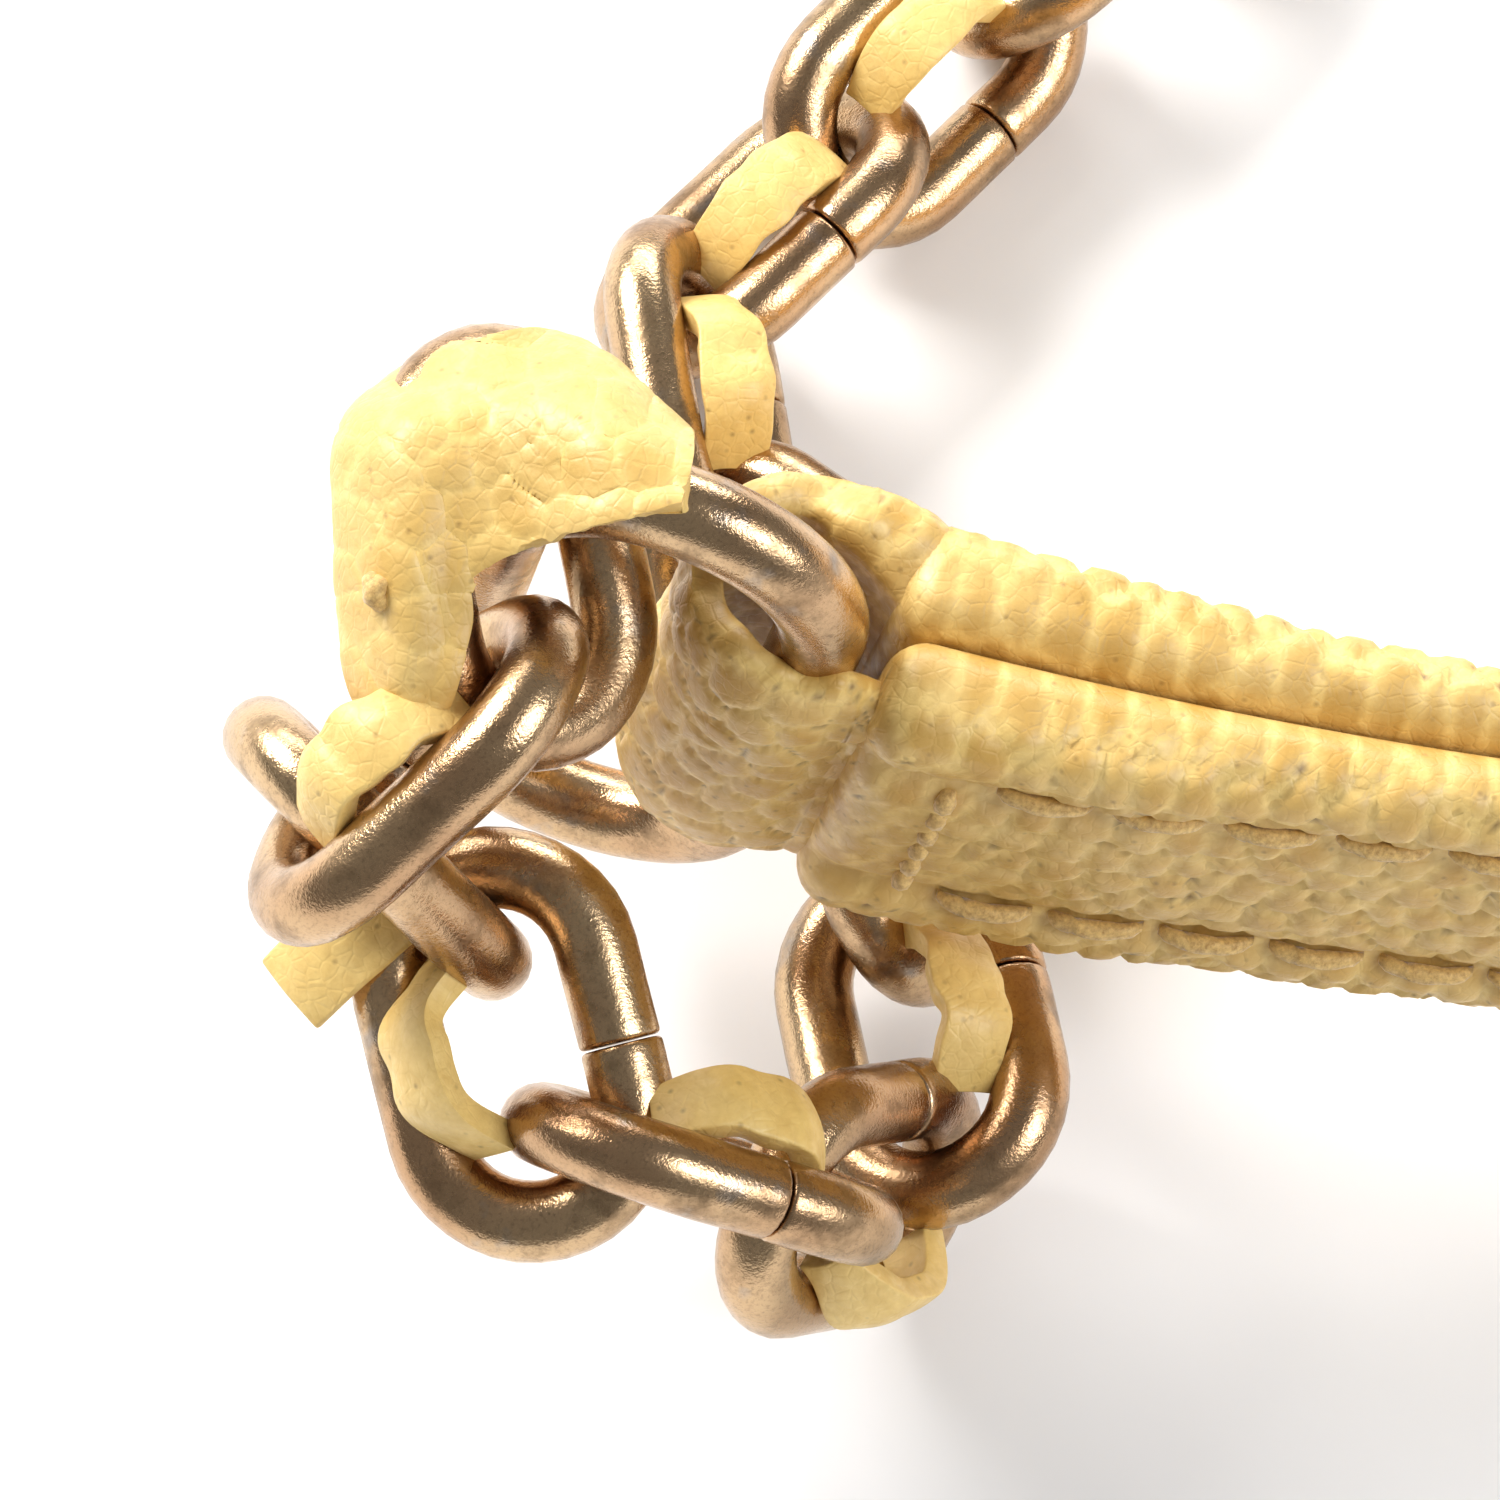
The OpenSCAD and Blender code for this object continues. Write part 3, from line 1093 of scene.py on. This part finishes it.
@dataclass
class Chain:
    """One end's ring, links and lace."""

    side: Side
    frame: dict
    finishes: Finishes
    link: WireOval
    ring: WireOval
    count: int = 14
    strip_width: float = 2.0
    strip_thick: float = 0.8
    strip_length: float = 4.9
    strip_curl: float = 3.0

    def name(self, what: str) -> str:
        """Returns a node's name at this end."""
        return f"{self.side.value}_{what}"

    def hangs(self) -> list[np.ndarray]:
        """Returns the places of this end's joints, in mm, from the ring to the last link."""
        own = [j for j in self.frame["joints"] if j["name"].startswith(self.side.value)]
        return [np.array(j["pos_m"]) / MM for j in own]

    def places(self) -> list[Placed]:
        """Returns where each link lies; its side direction is towards its lace."""
        hangs = self.hangs()
        strips = self.lace_middles()
        out = []
        for i in range(1, self.count + 1):
            node = self.frame["nodes"][self.name(f"link_{i}")]
            pts = coords(node) / MM
            middle = (pts.min(0) + pts.max(0)) / 2
            near = min(strips, key=lambda c: np.linalg.norm(c - middle))
            out.append(Placed.of_node(node, middle - hangs[i], near - middle))
        return out

    def lace_middles(self) -> list[np.ndarray]:
        """Returns the middle of each separate stretch of the CAD lace, in mm."""
        source = self.frame["nodes"][self.name("lace")]
        obj = source.copy()
        obj.data = source.data.copy()
        obj.parent = None
        bpy.context.collection.objects.link(obj)
        make_active(obj)
        bpy.ops.object.mode_set(mode="EDIT")
        bpy.ops.mesh.select_all(action="SELECT")
        bpy.ops.mesh.remove_doubles(threshold=MERGE)
        bpy.ops.mesh.separate(type="LOOSE")
        bpy.ops.object.mode_set(mode="OBJECT")
        parts = list(bpy.context.selected_objects)
        middles = []
        for part in parts:
            pts = coords(part) / MM
            middles.append((pts.min(0) + pts.max(0)) / 2)
        for part in parts:
            bpy.data.objects.remove(part)
        return middles

    def wire_pieces(self, model_link: bpy.types.Object, model_ring: bpy.types.Object) -> None:
        """Builds the ring and every link.

        Args:
            model_link: The link that is copied.
            model_ring: The ring that is copied.
        """
        node = self.name("ring")
        out = vec(-1, 0, 0) if self.side is Side.LEFT else vec(1, 0, 0)
        place = Placed.of_node(self.frame["nodes"][node], vec(0, 0, 1), out)
        local = self.ring.worked(coords(model_ring), 1)
        obj = copy_piece(model_ring, self.name("ring_wire"), place.world(local * [1, -1, -1]))
        dress(obj, self.finishes.brass)
        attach(obj, node)
        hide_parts(node)
        for i, place in enumerate(self.places(), start=1):
            node = self.name(f"link_{i}")
            local = self.link.worked(coords(model_link), i + 3)
            flip = np.array([1, 1, 1]) if i % 2 else np.array([1, -1, -1])
            obj = copy_piece(model_link, self.name(f"link_{i}_wire"), place.world(local * flip))
            dress(obj, self.finishes.brass)
            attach(obj, node)
            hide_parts(node)
        LOG.info("%s chain: ring and %d links", self.side.value, self.count)

    def strip(self, i: int, place: Placed, middle: np.ndarray) -> None:
        """Builds the stretch of lace beside one link, curled in at both ends.

        Args:
            i: Number of the link.
            place: Where the link lies.
            middle: Middle of the CAD stretch, in mm.
        """
        off = middle - place.middle
        off = off - (off @ place.along) * place.along
        reach = np.linalg.norm(off)
        off = off / reach
        across = np.cross(place.along, off)
        t = np.linspace(-1, 1, 41)
        w = np.linspace(-1, 1, 15)
        tt, ww = np.meshgrid(t, w, indexing="ij")
        flat = np.stack([tt.ravel() * 4, ww.ravel() * 1.3, 0 * tt.ravel() + i], -1) * MM
        rough = wave(flat, 0.0025, 41 + i).reshape(tt.shape)
        bend = np.clip(np.abs(tt) - 0.25, 0, 1)
        deep = self.strip_curl * bend ** 2
        width = self.strip_width / 2 * (1 - 0.25 * bend)
        base = place.middle + tt[..., None] * self.strip_length / 2 * place.along
        # The strip lies square to the line to the link's middle, slightly cupped.
        lay = (reach - 0.1 - deep + 0.07 * rough - 0.18 * ww ** 2)[..., None] * off
        points = base + lay + (ww * width + 0.12 * rough)[..., None] * across
        obj = shaped_grid(self.name(f"lace_{i}"), points * MM, False)
        crown, own = pebbles(tt * 3.6 / 1.1, ww * 1.3 / 1.1, 50 + i)
        paint_grain(obj, crown.ravel() * 0.6, own.ravel(), (0 * own).ravel())
        thicken(obj, self.strip_thick * MM, 0.22 * MM)
        dress(obj, self.finishes.leather)
        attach(obj, self.name(f"link_{i}"))

    def lace(self) -> None:
        """Builds the stretches of lace along the chain."""
        places, middles = self.places(), self.lace_middles()
        for i in range(2, self.count + 1):
            place = places[i - 1]
            near = min(middles, key=lambda c: np.linalg.norm(c - place.middle))
            self.strip(i, place, near)
        LOG.info("%s lace: %d stretches", self.side.value, self.count - 1)


def curve_through(points: np.ndarray, count: int) -> np.ndarray:
    """Returns a smooth curve through points, along the first axis.

    Args:
        points: Control values; the first axis runs along the curve.
        count: Number of values returned.

    Returns:
        Values evenly spread between the first and the last control value.
    """
    ends = np.concatenate([2 * points[:1] - points[1:2], points, 2 * points[-1:] - points[-2:-1]])
    t = np.linspace(0, len(points) - 1, count)
    k = np.minimum(t.astype(int), len(points) - 2)
    f = (t - k).reshape(-1, *([1] * (points.ndim - 1)))
    a, b, c, d = ends[k], ends[k + 1], ends[k + 2], ends[k + 3]
    return 0.5 * (2 * b + (c - a) * f + (2 * a - 5 * b + 4 * c - d) * f ** 2
                  + (3 * b - a - 3 * c + d) * f ** 3)


@dataclass
class Hood:
    """The lace's first fold: a soft cap over the ring's bend and down the first link's leg.

    Its control points are in mm from the first link's middle: across, up and towards the
    onlooker in the view that shows the fold's face. Each station runs from the tucked edge
    over the outer side and the crest to the lip.
    """

    side: Side
    frame: dict
    finishes: Finishes
    thick: float = 0.85
    tail_thick: float = 0.8
    tail_half_width: float = 1.15
    stations: tuple = (
        ((4.2, 2.6, 1.6), (4.5, 2.65, 2.9), (4.75, 1.95, 5.0), (4.5, 0.9, 5.55)),
        ((3.2, 3.9, 0.9), (3.1, 3.9, 2.3), (3.0, 2.6, 4.9), (2.8, 0.5, 5.2)),
        ((1.1, 5.3, 0.3), (1.1, 5.0, 1.0), (1.4, 3.2, 3.9), (1.5, 0.2, 4.4)),
        ((-0.7, 5.25, 1.8), (-0.7, 4.8, 2.1), (-0.5, 2.9, 3.5), (0.2, -0.2, 3.6)),
        ((-2.9, 3.9, -0.6), (-3.95, 3.3, 1.3), (-2.5, 2.5, 3.55), (-0.7, -0.6, 3.3)),
        ((-3.1, 0.4, -0.1), (-4.15, 0.4, 1.6), (-2.7, 0.3, 3.6), (-1.1, -1.0, 3.2)),
        ((-3.0, -1.5, 0.0), (-4.2, -1.6, 1.5), (-2.7, -1.6, 3.55), (-1.2, -2.0, 3.0)),
        ((-2.7, -3.4, 0.0), (-3.9, -3.6, 1.3), (-2.8, -3.6, 3.2), (-1.5, -3.4, 3.0)),
        ((-2.4, -4.7, 0.3), (-3.1, -5.0, 1.1), (-2.9, -5.0, 2.2), (-2.3, -4.8, 2.5)))

    def world(self, local: np.ndarray) -> np.ndarray:
        """Moves points from the fold's own view to the strap's frame.

        Args:
            local: Points across, up and towards the onlooker from the link's middle, in mm.

        Returns:
            The points in the strap's frame, in mm.
        """
        eye = Studio()
        el = math.radians(eye.elevation)
        look = eye.turned(vec(0, math.cos(el), -math.sin(el)))
        up = eye.turned(vec(0, math.sin(el), math.cos(el)))
        pts = coords(self.frame["nodes"]["left_link_1"]) / MM
        middle = (pts.min(0) + pts.max(0)) / 2
        out = middle + local @ np.stack([np.cross(look, up), up, -look])
        return out * MIRROR if self.side is Side.RIGHT else out

    def cap(self) -> None:
        """Builds the soft cap with its creases."""
        rows, columns = 120, 76
        grid = curve_through(np.array(self.stations, dtype=float), rows)
        grid = curve_through(grid.transpose(1, 0, 2), columns).transpose(1, 0, 2)
        flat = grid.reshape(-1, 3) * MM
        du, dv = np.gradient(grid, axis=0), np.gradient(grid, axis=1)
        normal = np.cross(du, dv)
        normal /= np.maximum(np.linalg.norm(normal, axis=2), 1e-9)[..., None]
        if normal[rows // 2, columns // 2, 2] < 0:
            normal = -normal
        v = np.linspace(0, 1, columns)[None, :]
        u = np.linspace(0, 1, rows)[:, None]
        soft = wave(flat, 0.0052, 61).reshape(rows, columns)
        slant = np.stack([(grid[..., 0] + 2.2 * grid[..., 1]).ravel() * 0.35,
                          0.25 * grid[..., 0].ravel(), 0.2 * grid[..., 2].ravel()], -1) * MM
        crease = np.abs(wave(slant, 0.0011, 62)).reshape(rows, columns)
        high = np.exp(-((u - 0.3) / 0.2) ** 2)
        crown, own = pebbles(grid[..., 0] / 1.3, grid[..., 1] / 1.3, 63)
        lift = 0.14 * soft - 0.16 * high * np.clip(0.35 - crease, 0, 1) + 0.07 * (crown - 0.7)
        lift += 0.16 * np.exp(-((v - 0.97) / 0.07) ** 2)
        grid = grid + normal * lift[..., None]
        points = self.world(grid.reshape(-1, 3)).reshape(rows, columns, 3)
        obj = shaped_grid(f"{self.side.value}_fold_leather", points * MM, False)
        paint_grain(obj, 0.3 + 0.5 * crown.ravel(), own.ravel(), (0 * own).ravel())
        thicken(obj, self.thick * MM, 0.3 * MM)
        self.finish(obj, "link_1", self.finishes.leather)
        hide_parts(f"{self.side.value}_lace")

    def finish(self, obj: bpy.types.Object, link: str,
               material: bpy.types.Material) -> None:
        """Dresses a piece and lets it ride on one of this end's links.

        Args:
            obj: The piece.
            link: The link's name at this end.
            material: The material.
        """
        dress(obj, material)
        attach(obj, f"{self.side.value}_{link}")

    def stitch(self, seams: "Seams") -> None:
        """Builds the hand stitch in the fold, of two crossing strands.

        Args:
            seams: Gives the strands the seams' thread.
        """
        strands = []
        for k, (start, end) in enumerate((((-3.62, -0.7, 3.62), (-3.3, -1.75, 3.66)),
                                          ((-3.25, -0.8, 3.85), (-3.6, -1.65, 3.7)))):
            points = seams.stitch(vec(*start), vec(*end), unit(vec(-0.5, 0.0, 0.86)), k)
            points = self.world(points.reshape(-1, 3)).reshape(points.shape)
            strands.append(shaped_grid(f"{self.side.value}_fold_stitch_{k + 1}",
                                       points * MM, True))
        for obj in strands:
            self.finish(obj, "link_1", self.finishes.thread)
        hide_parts(f"{self.side.value}_hand_stitch")

    def tail(self) -> None:
        """Builds the lace's free cut end."""
        rows, columns = 40, 17
        core = curve_through(np.array([(-2.2, -8.6, -5.2), (-3.6, -9.7, -5.0),
                                       (-5.0, -10.9, -5.4), (-6.1, -11.9, -6.1)]), rows)
        w = np.linspace(-1, 1, columns)
        cross = unit(vec(0.64, -0.74, 0.2))
        grid = core[:, None, :] + self.tail_half_width * w[None, :, None] * cross
        grid[..., 2] -= 0.25 * w ** 2
        flat = grid.reshape(-1, 3) * MM
        grid[..., 2] += 0.1 * wave(flat, 0.003, 66).reshape(rows, columns)
        crown, own = pebbles(grid[..., 0] / 1.2, grid[..., 1] / 1.2, 67)
        points = self.world(grid.reshape(-1, 3)).reshape(rows, columns, 3)
        obj = shaped_grid(f"{self.side.value}_lace_end", points * MM, False)
        paint_grain(obj, crown.ravel() * 0.6, own.ravel(), (0 * own).ravel())
        thicken(obj, self.tail_thick * MM, 0.15 * MM)
        self.finish(obj, "link_4", self.finishes.leather)

    def build(self, seams: "Seams") -> None:
        """Builds the fold, its hand stitch and the lace's cut end.

        Args:
            seams: Gives the stitch the seams' thread.
        """
        self.cap()
        self.stitch(seams)
        self.tail()
        LOG.info("%s fold, stitch and cut end", self.side.value)


@dataclass
class Studio:
    """A pale floor, soft light and the camera. Sizes in mm."""

    elevation: float = 67.0
    heading: float = -26.0
    distance: float = 210.0
    lens: float = 191.52
    sensor: float = 36.0
    aim_beside: float = 0.7287
    aim_beyond: float = 2.9969
    aim_above: float = 4.947
    floor_size: float = 6.0
    ambient: float = 0.26

    def turned(self, v: np.ndarray) -> np.ndarray:
        """Turns a direction from the view's heading to the strap's frame.

        Args:
            v: The direction across, away and up.

        Returns:
            The direction in the strap's frame.
        """
        a = math.radians(self.heading)
        return vec(v[0] * math.cos(a) - v[1] * math.sin(a),
                   v[0] * math.sin(a) + v[1] * math.cos(a), v[2])

    def camera(self, target: np.ndarray) -> None:
        """Adds the camera.

        Args:
            target: The point at the middle of the picture, in mm.
        """
        el = math.radians(self.elevation)
        look = self.turned(vec(0, math.cos(el), -math.sin(el)))
        up = self.turned(vec(0, math.sin(el), math.cos(el)))
        right = np.cross(look, up)
        data = bpy.data.cameras.new("camera")
        data.lens, data.sensor_width = self.lens, self.sensor
        data.clip_start, data.clip_end = 0.005, 20.0
        cam = bpy.data.objects.new("camera", data)
        bpy.context.collection.objects.link(cam)
        turn = Matrix([[right[k], up[k], -look[k]] for k in range(3)]).to_4x4()
        spot = (target - look * self.distance) * MM
        cam.matrix_world = Matrix.Translation(Vector(spot)) @ turn
        bpy.context.scene.camera = cam

    def floor(self) -> None:
        """Adds the floor."""
        deselect()
        bpy.ops.mesh.primitive_plane_add(size=self.floor_size, location=(0, 0, -0.0001))
        obj = bpy.context.object
        obj.name = "floor"
        n = Nodes("floor")
        at = n.place()
        n.join(n.span(n.noise(at, 3.0), 0.3, 0.7, 0.75, 0.82), n.shader.inputs["Roughness"])
        n.set(Base_Color=(0.93, 0.93, 0.94, 1))
        dress(obj, n.material)

    def light(self, name: str, spot: np.ndarray, aim: np.ndarray, size: tuple[float, float],
              power: float, colour: tuple[float, float, float] = (1, 1, 1)) -> None:
        """Adds one soft box.

        Args:
            name: The light's name.
            spot: Its place in mm, in the view's heading.
            aim: The point that it faces.
            size: Width and height in metres.
            power: Watts.
            colour: Its colour.
        """
        data = bpy.data.lights.new(name, "AREA")
        data.shape, data.size, data.size_y = "RECTANGLE", size[0], size[1]
        data.energy, data.color = power, colour
        obj = bpy.data.objects.new(name, data)
        bpy.context.collection.objects.link(obj)
        place = Vector((aim + self.turned(spot)) * MM)
        obj.location = place
        obj.rotation_euler = (Vector(aim * MM) - place).to_track_quat("-Z", "Y").to_euler()

    def build(self, aim: np.ndarray, target: np.ndarray) -> None:
        """Builds the whole studio.

        Args:
            aim: The point that the lights face, in mm.
            target: The point at the middle of the picture, in mm.
        """
        self.camera(target)
        self.floor()
        self.light("key", vec(-380, 300, 360), aim, (0.3, 0.3), 5.6, (1.0, 0.98, 0.95))
        self.light("fill", vec(420, -160, 380), aim, (0.25, 0.4), 2.4, (0.95, 0.97, 1.0))
        self.light("back", vec(60, 560, 260), aim, (0.6, 0.18), 2.6)
        world = bpy.data.worlds.new("world")
        bpy.context.scene.world = world
        world.use_nodes = True
        sky = world.node_tree.nodes["Background"]
        sky.inputs["Color"].default_value = (1, 1, 1, 1)
        sky.inputs["Strength"].default_value = self.ambient
        bpy.context.scene.view_settings.view_transform = "Standard"


def main() -> None:
    """Builds the strap round its frame."""
    logging.basicConfig(level=logging.INFO, format="%(name)s: %(message)s")
    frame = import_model()
    deselect()
    low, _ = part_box("front_cover")
    path = PadPath()
    path.y_shift = low.y / MM + path.radius + path.front + path.seam / 2
    foot = Sleeve(path, Side.LEFT).frame()[0]
    studio = Studio()
    # The camera aims a little beside the left ring's leg and above it.
    target = foot - studio.turned(vec(studio.aim_beside, studio.aim_beyond, 0.0))
    target[2] = foot[2] + studio.aim_above
    studio.build(foot, target)
    finishes = Finishes.build()
    PadLayer(path, Layer.FRONT, "front_cover").build(finishes)
    PadLayer(path, Layer.BACK, "back_cover", seed=8, channel_depth=0.0).build(finishes)
    seams = Seams(path)
    seams.build(finishes)
    for side in Side:
        Sleeve(path, side).build(finishes)
    link = WireOval(2.3, 2.85, 2.0)
    ring = WireOval(2.5, 4.4, 6.2, sides=28, steps=24)
    model_link, model_ring = link.build("link_model"), ring.build("ring_model")
    for side in Side:
        chain = Chain(side, frame, finishes, link, ring)
        chain.wire_pieces(model_link, model_ring)
        chain.lace()
        Hood(side, frame, finishes).build(seams)
    for model in (model_link, model_ring):
        bpy.data.objects.remove(model)
    for node in ("front_filling", "back_filling"):
        dress(frame["nodes"][node], finishes.foam)


if __name__ == "__main__":
    main()
